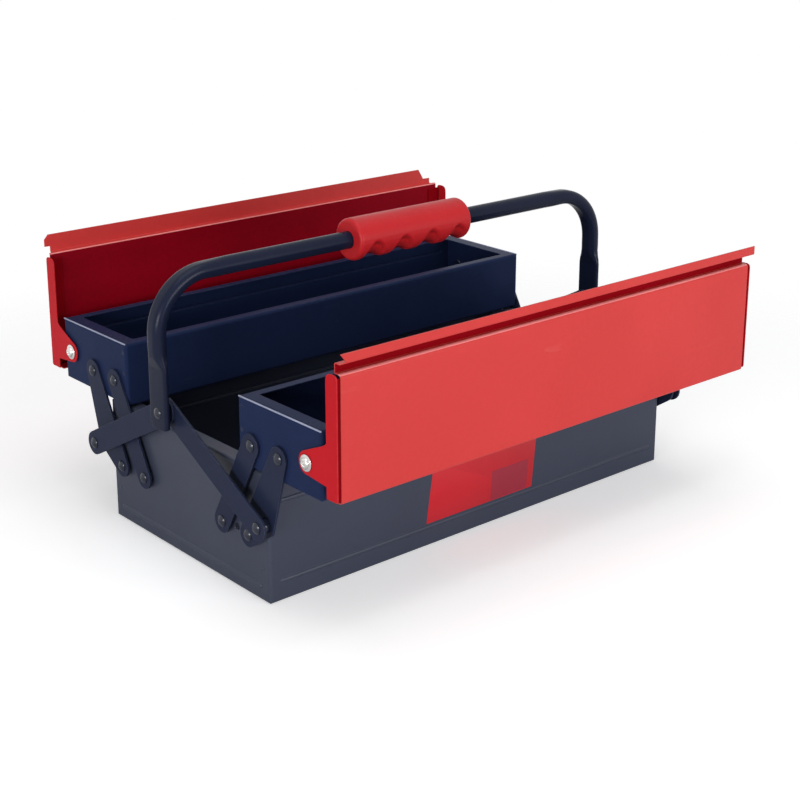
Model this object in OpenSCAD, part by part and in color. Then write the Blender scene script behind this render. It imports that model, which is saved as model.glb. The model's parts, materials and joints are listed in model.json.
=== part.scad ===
// Cantilever tool box: a sheet steel base, two trays that swing out on links, hinged lids and a carrying bar.
// Millimetres. Origin at the middle of the base underside, X along the length, front to -Y, Z up.
// Drawn with both trays swung out and both lids raised.

/* [Base box] */
// Length of the base over the end plates
base_len = 420; // [380:1:460]
// Width of the base over the long walls
base_w = 209; // [201:1:217]
// Height of the base
base_h = 100; // [94:1:100]

/* [Sheet steel] */
// Thickness of the sheet
sheet = 0.8; // [0.6:0.1:1.2]
// Outside radius of the folded edges
fold_r = 2.4; // [2:0.1:3]
// Width of the rim turned in along the long walls
side_rim = 9; // [6:0.5:12]
// Width of the rim turned in along the end plates
end_rim = 12; // [8:0.5:16]

/* [Pressed beads] */
// Radius of the pressed bead
bead_r = 2.4; // [2:0.1:3]
// How far a bead stands out of the wall
bead_rise = 1.1; // [0.8:0.1:1.4]
// Height of the lower bead of a long wall
low_bead_z = 16; // [12:0.5:20]
// Drop of the upper bead below the rim of the base
high_bead_drop = 22; // [18:0.5:26]
// Height of the bead of an end plate
end_bead_z = 11; // [8:0.5:14]
// Plain wall left beyond each end of a bead
bead_margin = 12; // [8:0.5:18]
// Drop of the bead below the rim of a tray
tray_bead_drop = 14; // [10:0.5:18]

/* [Trays] */
// Width of a tray
tray_w = 95; // [91:0.5:97]
// Height of a tray
tray_h = 50.8; // [46:0.2:54]
// Clearance under an open tray, above the base rim
tray_lift = 1.5; // [1:0.1:3]
// How far a tray end stands out past the base end
tray_out = 2.4; // [1.8:0.1:3.2]
// Gap from the middle plane to a folded tray
centre_gap = 0.5; // [0.3:0.1:1.5]

/* [Linkage] */
// Length of a link between its two pivots
link_len = 79.5; // [77:0.5:82]
// Outward lean of the links with the trays out, degrees
lean_open = 28.7; // [27:0.1:30]
// Inward lean of the links with the trays folded, degrees
lean_shut = 26.8; // [25:0.1:28]
// Distance between the two base pivots of one tray
pivot_gap = 32.3; // [30:0.1:34]
// Distance of the outer base pivot from the middle plane
base_pivot_y = 85.3; // [84:0.1:86]
// Height of the base pivots
base_pivot_z = 49.5; // [47:0.1:51]
// Width of a link
link_w = 18; // [16:0.5:19]
// Thickness of a link
link_t = 1.8; // [1.5:0.1:2.1]
// Distance from the outer base pivot to the crank pin
crank_arm = 27.4; // [26:0.1:29]
// Angle of the crank pin outward from the link line, degrees
crank_angle = 27; // [25:0.5:29]
// Length of a coupler between its two pivots
coupler_len = 122.1; // [120:0.1:125]
// Width of a coupler
coupler_w = 19; // [17:0.5:21]
// Thickness of a coupler
coupler_t = 1.8; // [1.5:0.1:2.1]
// Distance a coupler stands off the links
standoff = 6.5; // [6:0.1:8]
// Radial play of the front coupler on the handle pin
open_play = 0.7; // [0.65:0.05:0.8]

/* [Lids] */
// Distance of the lid pivot in from the outer wall of its tray
lid_inset = 13.6; // [12.8:0.1:14.4]
// Drop of the lid pivot below the tray rim
lid_pivot_drop = 25.5; // [24:0.1:27]
// Distance from the lid pivot to the outside of the raised lid
lid_out = 33.3; // [31:0.1:35]
// Distance the raised lid reaches below its pivot
lid_down = 20.8; // [19:0.1:22]
// Distance the panel of the front lid reaches above its pivot
lid_up = 69.7; // [68:0.1:71]
// Radius of the rolled top edge of the front panel
edge_r = 3; // [2.4:0.1:3.6]
// Depth of the groove under the lip of the front lid
groove_d = 6; // [5.6:0.1:8]
// Height of the groove under the lip of the front lid
groove_w = 6.3; // [5:0.1:7]
// Height of the lip of the front lid
lip_h = 7.4; // [6:0.1:8.5]
// Distance the panel of the rear lid reaches above its pivot
ledge_up = 75.5; // [74:0.1:77]
// Step outward of the band of the rear lid
ledge_d = 4.4; // [4:0.1:6]
// Distance the rear lid reaches above its pivot
rear_lid_top = 90; // [88:0.1:92]
// Radius of the round ear at the lid pivot
ear_r = 8.6; // [8:0.1:9.4]
// Gap between a tray end and the lid ear
ear_gap = 1.3; // [1:0.1:1.6]
// Overhang of the front lip past the right end of the lid
lip_overhang = 4; // [0:0.5:4]
// Length by which the rear band stops short of the right end
band_short = 22; // [14:1:30]
// Length of ledge left beyond the right end of the rear band
ledge_past = 14; // [8:1:18]
// Outside radius of the turned edge of a lid end plate
cap_turn = 4.8; // [4:0.1:6]
// Length of the tab of a lid end plate along the panel
cap_tab = 8; // [6:0.5:12]
// Gap between a lid end plate and the bottom flange
cap_gap = 0.8; // [0.6:0.1:1.2]
// Inset of a lid end plate from the end of the panel
cap_inset = 0.5; // [0.3:0.1:0.8]

/* [Handle] */
// Height of the crossbar above the handle pins
handle_rise = 101.5; // [96:0.5:110]
// Diameter of the handle bar
bar_d = 14; // [12:0.5:15]
// Bend radius of the handle bar
handle_bend_r = 42; // [35:1:46]
// Width of the flattened leg
leg_w = 22; // [20:0.5:24]
// Thickness of the flattened leg
leg_t = 4.5; // [4:0.1:5]
// Thickness of the shoulder between the rear coupler and the leg
leg_spacer = 2.4; // [2:0.1:3]
// Reach of the flattened leg above its pin
leg_flat = 36; // [30:1:38]
// Reach of the flattened leg below its pin
leg_foot = 12; // [10:0.5:14]
// Length of the taper from flat to round
leg_taper = 10; // [8:1:13]
// Corner radius of the foot of the leg
leg_corner = 2.5; // [1.5:0.1:3.5]

/* [Grip] */
// Length of the moulded grip
grip_len = 118; // [110:1:124]
// Diameter of the moulded grip
grip_d = 34; // [32:0.5:36]
// Offset of the grip to the right of the middle
grip_x = 7.5; // [-10:0.5:15]
// Spacing of the finger grooves
finger_pitch = 29; // [27:0.5:30]
// Depth of the finger grooves
finger_depth = 4.5; // [2:0.1:6]
// Radius of the finger grooves
finger_r = 15; // [13:0.5:16]
// Rounding of the ends of the grip
grip_round = 4; // [3:0.5:6]

/* [Rivets] */
// Radius of a rivet shank
rivet_r = 2.8; // [2.4:0.1:3]
// Radius of a rivet head
head_r = 4.6; // [4.2:0.1:5]
// Height of a rivet head
head_h = 2; // [1.6:0.1:2.2]
// Radius of the formed end of a rivet
tail_r = 4; // [3.6:0.1:4.2]
// Height of the formed end of a rivet
tail_h = 1.2; // [0.8:0.1:1.2]
// Radius of a base pivot spacer
spacer_r = 5.5; // [5:0.1:6]
// Radius of the bright collar of a lid rivet
collar_r = 6; // [5.4:0.1:6.4]
// Radius of the open hole beside each inner base pivot
spare_hole_r = 3; // [2.4:0.1:3.4]

/* [Fits] */
// Radial running clearance of a shank in a moving part
running = 0.05; // [0.03:0.01:0.08]
// Side clearance between two layers of the linkage
face_gap = 0.3; // [0.3:0.05:0.4]
// Gap between a tray end and the links
layer_gap = 0.4; // [0.35:0.05:0.5]

/* [View] */
// Which node is drawn

/* [Hidden] */
$fn = 48;
inner_fold = fold_r - sheet;
hole_r = rivet_r + running;
end_r = link_w / 2;
half_len = base_len / 2;
half_w = base_w / 2;
x_tray = half_len + tray_out;
x_link = x_tray + layer_gap;
x_head = x_link + link_t + face_gap;
x_front_coupler = x_link + link_t + standoff;
x_rear_coupler = x_front_coupler + coupler_t + face_gap;
x_shoulder = x_rear_coupler + coupler_t + face_gap;
x_leg = x_shoulder + leg_spacer;
x_bar = x_leg + leg_t / 2;
x_ear = x_tray + ear_gap;
x_lid = x_ear + sheet;
x_panel = x_lid + cap_inset;
bend_out = 2 * sheet;

function polar(lean, r) = [r * sin(lean), r * cos(lean)];

outer_base = [base_pivot_y, base_pivot_z];
inner_base = outer_base - [pivot_gap, 0];
outer_tray = outer_base + polar(lean_open, link_len);
inner_tray = inner_base + polar(lean_open, link_len);
crank_pin = outer_base + polar(lean_open + crank_angle, crank_arm);
pin_z = crank_pin[1] + sqrt(coupler_len * coupler_len - crank_pin[0] * crank_pin[0]);
handle_pin = [0, pin_z];
tray_y = centre_gap + link_len * (sin(lean_open) + sin(lean_shut));
tray_z = base_h + tray_lift;
lid_pivot = [tray_y + tray_w - lid_inset, tray_z + tray_h - lid_pivot_drop];
bar_z = pin_z + handle_rise;
bend_x = x_bar - handle_bend_r;
bend_z = bar_z - handle_bend_r;
lip_from = lid_up + groove_w;
lip_top = lip_from + lip_h;
cap_from = lid_inset + 0.4;
cap_low = sheet + cap_gap - lid_down;
cap_top = lid_up - 1.2;
cap_bend = lid_out - sheet + 0.3 - cap_turn;
spare_hole = inner_base + [13, -1];

// A flat outline in the Y-Z plane, grown along X from x.
module plate(x, t) {
    translate([x, 0, 0])
        rotate([90, 0, 90])
            linear_extrude(t)
                children();
}

// A flat outline in the Y-Z plane, grown along X both ways from the middle.
module along_x(len) {
    translate([-len / 2, 0, 0])
        rotate([90, 0, 90])
            linear_extrude(len)
                children();
}

// A flat outline in the X-Z plane, grown along Y both ways from the middle.
module along_y(len) {
    translate([0, len / 2, 0])
        rotate([90, 0, 0])
            linear_extrude(len)
                children();
}

module at_end(side) {
    if (side < 0) {
        mirror([1, 0, 0])
            children();
    } else {
        children();
    }
}

module in_front() {
    mirror([0, 1, 0])
        children();
}

// Rectangle with four round corners, resting on the X axis.
module rounded(w, h, r) {
    translate([-w / 2 + r, 0])
        square([w - 2 * r, h]);
    translate([-w / 2, r])
        square([w, h - 2 * r]);
    for (sx = [-1, 1]) {
        translate([sx * (w / 2 - r), r])
            circle(r);
        translate([sx * (w / 2 - r), h - r])
            circle(r);
    }
}

module centred_round(w, h, r) {
    translate([0, -h / 2])
        rounded(w, h, r);
}

// Straight strap with round ends between two pivots.
module strap(a, b, r) {
    d = b - a;
    translate(a)
        rotate(atan2(d[1], d[0]))
            translate([0, -r])
                square([norm(d), 2 * r]);
    translate(a)
        circle(r);
    translate(b)
        circle(r);
}

// Block with folded edges, resting on the X-Y plane.
module folded_block(l, w, h, r) {
    intersection() {
        along_x(l)
            rounded(w, h, r);
        along_y(w)
            rounded(l, h, r);
        linear_extrude(h)
            centred_round(l, w, r);
    }
}

// Round rod along X with ball ends.
module rod_x(len, r) {
    translate([-len / 2, 0, 0])
        rotate([0, 90, 0])
            cylinder(h = len, r = r);
    for (s = [-1, 1]) {
        translate([s * len / 2, 0, 0])
            sphere(r);
    }
}

module rod_y(len, r) {
    rotate([0, 0, 90])
        rod_x(len, r);
}

// Beads of the long walls: one rod per height, sunk so that bead_rise stands out.
module wall_beads(len, face, heights, r) {
    for (z = heights) {
        translate([0, face - bead_r + bead_rise, z])
            rod_x(len, r);
    }
}

// Open-topped box of folded sheet with rims turned in at the top.
module folded_box(l, w, h) {
    difference() {
        union() {
            folded_block(l, w, h, fold_r);
            children(0);
        }
        translate([0, 0, sheet])
            folded_block(l - 2 * sheet, w - 2 * sheet, h - 2 * sheet, inner_fold);
        translate([0, 0, h / 2])
            linear_extrude(h)
                centred_round(l - 2 * end_rim, w - 2 * side_rim, fold_r);
        children(1);
    }
}

module end_holes(x, points, r) {
    for (s = [-1, 1]) {
        at_end(s) {
            for (p = points) {
                plate(x - 3 * sheet, 5 * sheet)
                    translate(p)
                        circle(r);
            }
        }
    }
}

// Beads of the base, drawn at radius r on both long walls and both end plates.
module base_beads(r) {
    heights = [low_bead_z, base_h - high_bead_drop];
    wall_beads(base_len - 2 * bead_margin, half_w, heights, r);
    in_front()
        wall_beads(base_len - 2 * bead_margin, half_w, heights, r);
    for (s = [-1, 1]) {
        translate([s * (half_len - bead_r + bead_rise), 0, end_bead_z])
            rod_y(base_w - 2 * bead_margin, r);
    }
}

module base_box() {
    color([0.13, 0.16, 0.3])
    difference() {
        folded_box(base_len, base_w, base_h) {
            base_beads(bead_r);
            base_beads(bead_r - sheet);
        }
        end_holes(half_len, [outer_base, inner_base], hole_r);
        in_front()
            end_holes(half_len, [outer_base, inner_base], hole_r);
        end_holes(half_len, [spare_hole], spare_hole_r);
        in_front()
            end_holes(half_len, [spare_hole], spare_hole_r);
    }
}

// Domed head on a face at x, looking along +X.
module dome(x, r, h) {
    ball = (r * r + h * h) / (2 * h);
    translate([x, 0, 0])
        rotate([0, 90, 0])
            rotate_extrude()
                intersection() {
                    translate([0, h - ball])
                        circle(ball, $fn = 96);
                    square([r, h]);
                }
}

module disc(x, r, t) {
    translate([x, 0, 0])
        rotate([0, 90, 0])
            cylinder(h = t, r = r);
}

// Rivet through a wall whose inside face is at x_in, head seated at x_out.
module rivet(x_in, x_out, r, h) {
    disc(x_in - tail_h, tail_r, tail_h);
    disc(x_in - tail_h / 2, rivet_r, x_out - x_in + tail_h);
    dome(x_out, r, h);
}

module at_pivot(p) {
    translate([0, p[0], p[1]])
        children();
}

module base_pivot(p) {
    at_pivot(p) {
        rivet(half_len - sheet, x_head, head_r, head_h);
        disc(half_len, spacer_r, x_link - face_gap - half_len);
    }
}

module base_pivots(side) {
    color([0.1, 0.12, 0.24])
    at_end(side) {
        base_pivot(outer_base);
        base_pivot(inner_base);
        in_front() {
            base_pivot(outer_base);
            base_pivot(inner_base);
        }
    }
}

module base_pivots_left() {
    base_pivots(-1);
}

module base_pivots_right() {
    base_pivots(1);
}

module tray_beads(r) {
    wall_beads(2 * x_tray - 2 * bead_margin, tray_w / 2, [tray_h - tray_bead_drop], r);
}

module tray() {
    difference() {
        translate([0, tray_y + tray_w / 2, tray_z])
            folded_box(2 * x_tray, tray_w, tray_h) {
                tray_beads(bead_r);
                tray_beads(bead_r - sheet);
            }
        end_holes(x_tray, [outer_tray, inner_tray, lid_pivot], hole_r);
    }
}

module rear_tray() {
    color([0.12, 0.15, 0.3])
        tray();
}

module front_tray() {
    color([0.12, 0.15, 0.3])
    in_front()
        tray();
}

module tray_pivots(side) {
    color([0.1, 0.12, 0.24])
    at_end(side) {
        at_pivot(outer_tray)
            rivet(x_tray - sheet, x_head, head_r, head_h);
        at_pivot(inner_tray)
            rivet(x_tray - sheet, x_head, head_r, head_h);
    }
}

module rear_tray_pivots_left() {
    tray_pivots(-1);
}

module rear_tray_pivots_right() {
    tray_pivots(1);
}

module front_tray_pivots_left() {
    in_front()
        tray_pivots(-1);
}

module front_tray_pivots_right() {
    in_front()
        tray_pivots(1);
}

// Bright rivet with a collar that holds a lid ear to a tray end.
module lid_rivet(side) {
    color([0.78, 0.78, 0.8])
    at_end(side)
        at_pivot(lid_pivot) {
            rivet(x_tray - sheet, x_lid + face_gap + 0.5, head_r - 0.4, head_h);
            disc(x_lid + face_gap, collar_r, 0.6);
            disc(x_tray, collar_r, ear_gap - face_gap);
        }
}

module rear_lid_rivet_left() {
    lid_rivet(-1);
}

module rear_lid_rivet_right() {
    lid_rivet(1);
}

module front_lid_rivet_left() {
    in_front()
        lid_rivet(-1);
}

module front_lid_rivet_right() {
    in_front()
        lid_rivet(1);
}

// Quarter ring of bent sheet: outside radius r, centred at c, in the quadrant that q points to.
module turn(c, r, q) {
    translate(c)
        intersection() {
            difference() {
                circle(r);
                circle(r - sheet);
            }
            translate([min(0, q[0]) * (r + 1), min(0, q[1]) * (r + 1)])
                square(r + 1);
        }
}

module run(u0, u1, v0, v1) {
    translate([u0, v0])
        square([u1 - u0, v1 - v0]);
}

// A sheet profile given from the lid pivot, drawn along X from x0 to x1.
module lid_profile(x0, x1) {
    translate([x0, lid_pivot[0], lid_pivot[1]])
        rotate([90, 0, 90])
            linear_extrude(x1 - x0)
                children();
}

// Bottom flange, bottom fold and panel of a raised lid.
module panel_profile(top) {
    run(cap_from, lid_out - fold_r, -lid_down, sheet - lid_down);
    turn([lid_out - fold_r, fold_r - lid_down], fold_r, [1, -1]);
    run(lid_out - sheet, lid_out, fold_r - lid_down, top);
}

module cap_outline() {
    w = lid_out - cap_from - 0.4;
    translate([cap_from, cap_low]) {
        square([w, cap_top - cap_low - 6]);
        translate([6, 0])
            square([w - 9, cap_top - cap_low]);
        translate([6, cap_top - cap_low - 6])
            circle(6);
        translate([w - 3, cap_top - cap_low - 3])
            circle(3);
        translate([w - 3, cap_top - cap_low - 6.5])
            square([3, 3.5]);
    }
}

// End plate of a lid, its outer edge turned in along the panel.
module lid_cap(side) {
    at_end(side)
        intersection() {
            plate(x_lid - 20, 21)
                translate(lid_pivot)
                    cap_outline();
            translate([0, lid_pivot[0], lid_pivot[1] - lid_down])
                linear_extrude(lid_up + lid_down)
                    union() {
                        translate([x_ear, cap_from])
                            square([sheet, cap_bend - cap_from]);
                        turn([x_lid - cap_turn, cap_bend], cap_turn, [1, 1]);
                        translate([x_lid - cap_turn - cap_tab, cap_bend + cap_turn - sheet])
                            square([cap_tab, sheet]);
                    }
        }
}

// Ear at one end of a lid, reaching in to the pivot.
module lid_ear(side) {
    at_end(side)
        plate(x_ear, sheet)
            difference() {
                union() {
                    translate(lid_pivot)
                        circle(ear_r);
                    translate(lid_pivot)
                        polygon([
                            [lid_inset + 2, ear_r + 9],
                            [-ear_r * 0.3, ear_r * 0.8],
                            [-ear_r * 0.1, -ear_r * 0.8],
                            [lid_inset + 2, -ear_r - 2.5]
                        ]);
                }
                translate(lid_pivot)
                    circle(hole_r);
            }
}

module lid_shell() {
    for (s = [-1, 1]) {
        lid_cap(s);
        lid_ear(s);
    }
}

// Flat strip of sheet whose outside face is u out from the lid pivot, outlined in X and height.
module upright(u, outline) {
    translate([0, lid_pivot[0] + u, lid_pivot[1]])
        rotate([90, 0, 0])
            linear_extrude(sheet)
                polygon(outline);
}

// Rolled top edge, groove and lip along the top of the front lid.
module front_lip() {
    inner = lid_out - groove_d;
    lid_profile(-x_panel, x_panel) {
        turn([lid_out - edge_r, lid_up - edge_r], edge_r, [1, 1]);
        run(inner + sheet, lid_out - edge_r, lid_up - sheet, lid_up);
        turn([inner + sheet, lid_up + sheet], bend_out, [-1, -1]);
        run(inner - sheet, inner, lid_up + sheet, lip_from - sheet);
        turn([inner + sheet, lip_from - sheet], bend_out, [-1, 1]);
        run(inner + sheet, lid_out - bend_out, lip_from, lip_from + sheet);
    }
    lid_profile(-x_lid + 9, x_panel)
        turn([lid_out - bend_out, lip_from + bend_out], bend_out, [1, -1]);
    upright(lid_out, [
        [-x_lid + 9, lip_from + bend_out],
        [x_lid + lip_overhang, lip_from + bend_out],
        [x_lid + lip_overhang, lip_top],
        [-x_panel, lip_top]
    ]);
}

// Outward ledge and band along the top of the rear lid.
module rear_band() {
    outer = lid_out + ledge_d;
    right = x_lid - band_short;
    low = ledge_up + sheet;
    lid_profile(-x_panel, right + ledge_past) {
        turn([lid_out + sheet, ledge_up - bend_out], bend_out, [-1, 1]);
        run(lid_out + sheet, outer - bend_out, ledge_up - sheet, ledge_up);
    }
    lid_profile(-x_panel + 6, right + ledge_past)
        turn([outer - bend_out, low], bend_out, [1, -1]);
    upright(outer, [
        [-x_panel + 6, low],
        [right + ledge_past, low],
        [right + ledge_past, low + 3],
        [right + 6, low + 3],
        [right, rear_lid_top],
        [-x_panel + 4, rear_lid_top],
        [-x_panel, rear_lid_top - 4],
        [-x_panel, low + 4],
        [-x_panel + 6, low + 4]
    ]);
}

module rear_lid() {
    color([0.78, 0.12, 0.12]) {
        lid_shell();
        lid_profile(-x_panel, x_panel)
            panel_profile(ledge_up - bend_out);
        rear_band();
    }
}

module front_lid() {
    color([0.78, 0.12, 0.12])
    in_front() {
        lid_shell();
        lid_profile(-x_panel, x_panel)
            panel_profile(lid_up - edge_r);
        front_lip();
    }
}

// Three-cornered outer link that also carries the crank pin.
module crank(side) {
    color([0.11, 0.13, 0.27])
    at_end(side)
        plate(x_link, link_t)
            difference() {
                union() {
                    strap(outer_base, outer_tray, end_r);
                    strap(outer_tray, crank_pin, end_r);
                    strap(crank_pin, outer_base, end_r);
                    polygon([outer_base, outer_tray, crank_pin]);
                }
                for (p = [outer_base, outer_tray]) {
                    translate(p)
                        circle(hole_r);
                }
                translate(crank_pin)
                    circle(rivet_r);
            }
}

module rear_crank_left() {
    crank(-1);
}

module rear_crank_right() {
    crank(1);
}

module front_crank_left() {
    in_front()
        crank(-1);
}

module front_crank_right() {
    in_front()
        crank(1);
}

module link(side) {
    color([0.11, 0.13, 0.27])
    at_end(side)
        plate(x_link, link_t)
            difference() {
                strap(inner_base, inner_tray, end_r);
                for (p = [inner_base, inner_tray]) {
                    translate(p)
                        circle(hole_r);
                }
            }
}

module rear_link_left() {
    link(-1);
}

module rear_link_right() {
    link(1);
}

module front_link_left() {
    in_front()
        link(-1);
}

module front_link_right() {
    in_front()
        link(1);
}

// Shouldered pin fixed in a crank: a shoulder up to the coupler, then a shank and a head.
module crank_stud(side, x_coupler) {
    color([0.1, 0.12, 0.24])
    at_end(side)
        at_pivot(crank_pin) {
            disc(x_link, rivet_r, x_coupler + coupler_t + face_gap - x_link);
            disc(x_link + link_t, spacer_r, x_coupler - face_gap - x_link - link_t);
            dome(x_coupler + coupler_t + face_gap, head_r, head_h);
        }
}

module rear_crank_pin_left() {
    crank_stud(-1, x_rear_coupler);
}

module rear_crank_pin_right() {
    crank_stud(1, x_rear_coupler);
}

module front_crank_pin_left() {
    in_front()
        crank_stud(-1, x_front_coupler);
}

module front_crank_pin_right() {
    in_front()
        crank_stud(1, x_front_coupler);
}

module coupler(side, x, play) {
    color([0.11, 0.13, 0.27])
    at_end(side)
        plate(x, coupler_t)
            difference() {
                strap(crank_pin, handle_pin, coupler_w / 2);
                translate(crank_pin)
                    circle(hole_r);
                translate(handle_pin)
                    circle(rivet_r + play);
            }
}

module rear_coupler_left() {
    coupler(-1, x_rear_coupler, running);
}

module rear_coupler_right() {
    coupler(1, x_rear_coupler, running);
}

module front_coupler_left() {
    in_front()
        coupler(-1, x_front_coupler, open_play);
}

module front_coupler_right() {
    in_front()
        coupler(1, x_front_coupler, open_play);
}

// One half of the bar: half the crossbar, the bend, the round leg, the taper and the flat foot.
module half_bar() {
    taper_low = pin_z + leg_flat;
    taper_top = taper_low + leg_taper;
    translate([0, 0, bar_z])
        rotate([0, 90, 0])
            cylinder(h = bend_x, r = bar_d / 2);
    translate([bend_x, 0, bend_z])
        rotate([90, 0, 0])
            rotate_extrude(angle = 90)
                translate([handle_bend_r, 0])
                    circle(bar_d / 2);
    translate([x_bar, 0, taper_top])
        cylinder(h = bend_z - taper_top, r = bar_d / 2);
    intersection() {
        translate([x_bar, 0, taper_low - 0.2])
            cylinder(h = leg_taper + 0.3, r1 = leg_w / 2, r2 = bar_d / 2);
        translate([x_bar, 0, taper_low - 0.2])
            along_y(leg_w + 2)
                polygon([
                    [-leg_t / 2, 0],
                    [leg_t / 2, 0],
                    [bar_d / 2 + 0.4, leg_taper + 1],
                    [-bar_d / 2 - 0.4, leg_taper + 1]
                ]);
    }
    difference() {
        plate(x_leg, leg_t)
            union() {
                translate([-leg_w / 2, pin_z - leg_foot + leg_corner])
                    square([leg_w, leg_flat + leg_foot - leg_corner]);
                translate([0, pin_z - leg_foot])
                    rounded(leg_w, 3 * leg_corner, leg_corner);
            }
        plate(x_leg - 1, leg_t + 2)
            translate(handle_pin)
                circle(rivet_r);
    }
}

module handle_bar() {
    color([0.12, 0.15, 0.3]) {
        half_bar();
        mirror([1, 0, 0])
            half_bar();
    }
}

// Pin of the handle: head outside the leg, shank through both couplers, formed end inside.
module leg_pin(side) {
    x_in = x_front_coupler - face_gap;
    color([0.1, 0.12, 0.24])
    at_end(side)
        at_pivot(handle_pin) {
            disc(x_in - tail_h + 0.2, tail_r, tail_h - 0.2);
            disc(x_in - 0.5, rivet_r, x_leg + leg_t - x_in + 0.5);
            disc(x_shoulder, spacer_r, leg_spacer);
            dome(x_leg + leg_t, head_r, head_h);
        }
}

module handle_pin_left() {
    leg_pin(-1);
}

module handle_pin_right() {
    leg_pin(1);
}

module handle_grip() {
    color([0.85, 0.22, 0.22])
    translate([grip_x, 0, bar_z])
        difference() {
            rotate([0, 90, 0])
                translate([0, 0, -grip_len / 2])
                    rotate_extrude($fn = 72)
                        intersection() {
                            rounded(grip_d, grip_len, grip_round);
                            square([grip_d, grip_len]);
                        }
            translate([-grip_len / 2 - 1, 0, 0])
                rotate([0, 90, 0])
                    cylinder(h = grip_len + 2, r = bar_d / 2);
            for (i = [-1.5:1:1.5]) {
                translate([i * finger_pitch, grip_d, -grip_d / 2 - finger_r + finger_depth])
                    rotate([90, 0, 0])
                        cylinder(h = 2 * grip_d, r = finger_r);
            }
        }
}

base_box();
base_pivots_left();
base_pivots_right();
front_tray();
rear_tray();
front_tray_pivots_left();
front_tray_pivots_right();
rear_tray_pivots_left();
rear_tray_pivots_right();
front_lid();
rear_lid();
front_lid_rivet_left();
front_lid_rivet_right();
rear_lid_rivet_left();
rear_lid_rivet_right();
front_crank_left();
front_crank_right();
rear_crank_left();
rear_crank_right();
front_crank_pin_left();
front_crank_pin_right();
rear_crank_pin_left();
rear_crank_pin_right();
front_link_left();
front_link_right();
rear_link_left();
rear_link_right();
front_coupler_left();
front_coupler_right();
rear_coupler_left();
rear_coupler_right();
handle_bar();
handle_pin_left();
handle_pin_right();
handle_grip();
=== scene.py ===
import json
import math

import bpy
from mathutils import Matrix, Vector

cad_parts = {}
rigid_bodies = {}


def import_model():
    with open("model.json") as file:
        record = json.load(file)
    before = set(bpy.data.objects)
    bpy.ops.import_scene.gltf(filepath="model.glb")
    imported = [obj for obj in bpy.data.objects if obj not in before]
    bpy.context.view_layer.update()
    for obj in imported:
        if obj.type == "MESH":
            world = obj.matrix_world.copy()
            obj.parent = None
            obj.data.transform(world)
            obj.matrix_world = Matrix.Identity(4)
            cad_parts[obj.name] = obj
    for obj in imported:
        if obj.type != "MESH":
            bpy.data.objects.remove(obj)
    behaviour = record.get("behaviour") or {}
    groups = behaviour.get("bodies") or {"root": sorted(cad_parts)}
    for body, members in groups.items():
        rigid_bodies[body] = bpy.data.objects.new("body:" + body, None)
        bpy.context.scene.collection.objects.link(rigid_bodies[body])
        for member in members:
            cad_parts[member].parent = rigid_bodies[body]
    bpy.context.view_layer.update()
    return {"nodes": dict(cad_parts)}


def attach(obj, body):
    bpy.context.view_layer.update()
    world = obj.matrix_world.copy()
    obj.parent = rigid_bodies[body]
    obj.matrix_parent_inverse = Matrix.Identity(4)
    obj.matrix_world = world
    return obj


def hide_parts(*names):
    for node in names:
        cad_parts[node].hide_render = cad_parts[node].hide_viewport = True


MM = 0.001
for default in list(bpy.data.objects):
    bpy.data.objects.remove(default, do_unlink=True)
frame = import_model()

# Colours in linear light: the navy of the pressings and the red of the lids and the grip.
NAVY_BODY = (0.044, 0.052, 0.082)
NAVY_TRAY = (0.016, 0.027, 0.078)
NAVY_LINK = (0.018, 0.024, 0.054)
NAVY_BAR = (0.011, 0.015, 0.036)
NAVY_RIVET = (0.012, 0.016, 0.034)
NAVY_DUST = (0.16, 0.17, 0.22)
# Lid red with a painted sheen: paler and pinker than the end plates' red, standing in for reflected
# light.
LID_RED_PAINTED_SHEEN = (0.62, 0.044, 0.041)
END_RED = (0.56, 0.012, 0.020)
# Painted highlight: pale pink on the rounded folds at the top of the lid panels.
FOLD_HIGHLIGHT_RED = (0.84, 0.26, 0.25)
LID_DEEP = (0.52, 0.032, 0.030)
# Painted shade: the lids' inner faces, much darker than the same red outside, standing in for shadow
# inside the box.
LID_INSIDE_SHADE = (0.27, 0.001, 0.009)
# Painted highlight: the pale blue of the thin beads along the tray rims.
RIM_PAINTED_HIGHLIGHT = (0.40, 0.43, 0.58)
GRIP_RED = (0.57, 0.018, 0.022)
PATCH_RED = (0.60, 0.012, 0.022)
PATCH_DARK = (0.36, 0.016, 0.040)
BRIGHT_STEEL = (0.80, 0.79, 0.77)

# Places on the object, in millimetres, as the CAD has them.
BAR_X = 229.95
PIN_Z = 122.02
CROSSBAR_Z = 223.52
BEND_R = 42.0
GRIP_X = 7.5
GRIP_LEN = 118.0
GRIP_R = 17.0
BASE_FRONT_Y = -104.5
LID_PIVOT_Y = 155.92
LID_PIVOT_Z = 126.8


# ---------------------------------------------------------------- camera, light and floor
# Camera fitted to the picture, in metres and millimetres of lens on a 36 mm sensor.
CAMERA_PLACE = (-0.80536, -0.93563, 0.52615)
CAMERA_TARGET = (0.1429, 0.1563, 0.1)
CAMERA_ROLL = math.radians(0.10)
CAMERA_LENS = 70.803
CAMERA_SHIFT = (-0.0055, -0.1221)


def add_camera():
    data = bpy.data.cameras.new("photo_camera")
    camera = bpy.data.objects.new("photo_camera", data)
    bpy.context.scene.collection.objects.link(camera)
    place = Vector(CAMERA_PLACE)
    aim = (Vector(CAMERA_TARGET) - place).to_track_quat("-Z", "Y").to_matrix().to_4x4()
    roll = Matrix.Rotation(CAMERA_ROLL, 4, "Z")
    camera.matrix_world = Matrix.Translation(place) @ aim @ roll
    data.sensor_width = 36.0
    data.lens = CAMERA_LENS
    data.shift_x, data.shift_y = CAMERA_SHIFT
    data.clip_start = 0.01
    bpy.context.scene.camera = camera


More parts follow.
